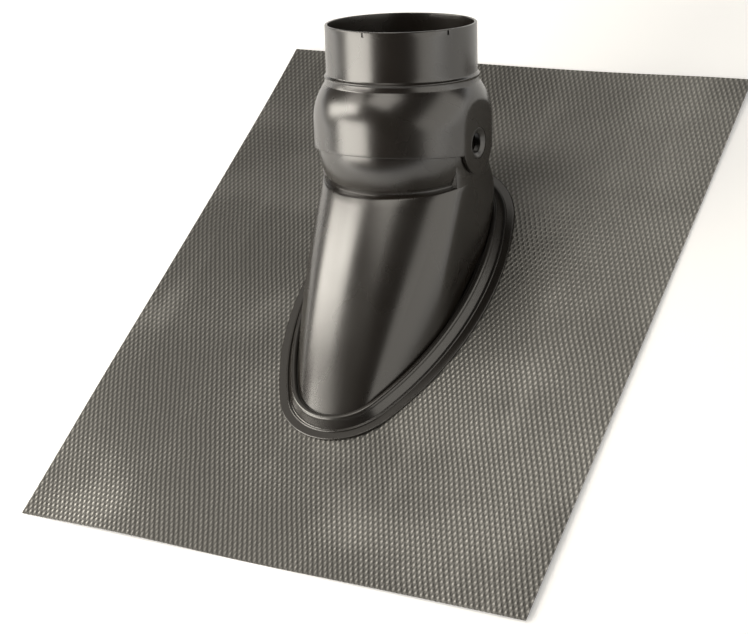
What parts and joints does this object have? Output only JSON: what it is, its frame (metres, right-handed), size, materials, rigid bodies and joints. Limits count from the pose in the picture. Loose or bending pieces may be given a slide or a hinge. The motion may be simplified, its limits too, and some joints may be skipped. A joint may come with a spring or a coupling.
{
  "type": "pipe flashing boot",
  "caption": "Roof flashing for a round pipe: a moulded dome with a swivelling pipe collar on an embossed metal sheet.",
  "frame": {"origin": "middle of the flashing sheet, on its underside", "axes": "+Z square to the roof, away from it; +Y up the slope; +X along the eaves"},
  "size_m": [0.5, 0.6, 0.2275],
  "materials": {
    "sheet_metal": "dull grey embossed sheet",
    "black_plastic": "glossy injection-moulded black",
    "pin_plastic": "moulded black"
  },
  "bodies": {
    "boot": {"flashing_sheet": "sheet_metal", "boot_base": "black_plastic", "pivot_pin_left": "pin_plastic", "pivot_pin_right": "pin_plastic"},
    "collar": {"swivel_collar": "black_plastic"}
  },
  "joints": [
    {"name": "collar_tilt", "type": "hinge", "parent": "boot", "child": "collar", "pos_m": [0, 0.0992, 0.1037], "axis": [-1, 0, 0], "range_deg": [-15, 5]}
  ]
}
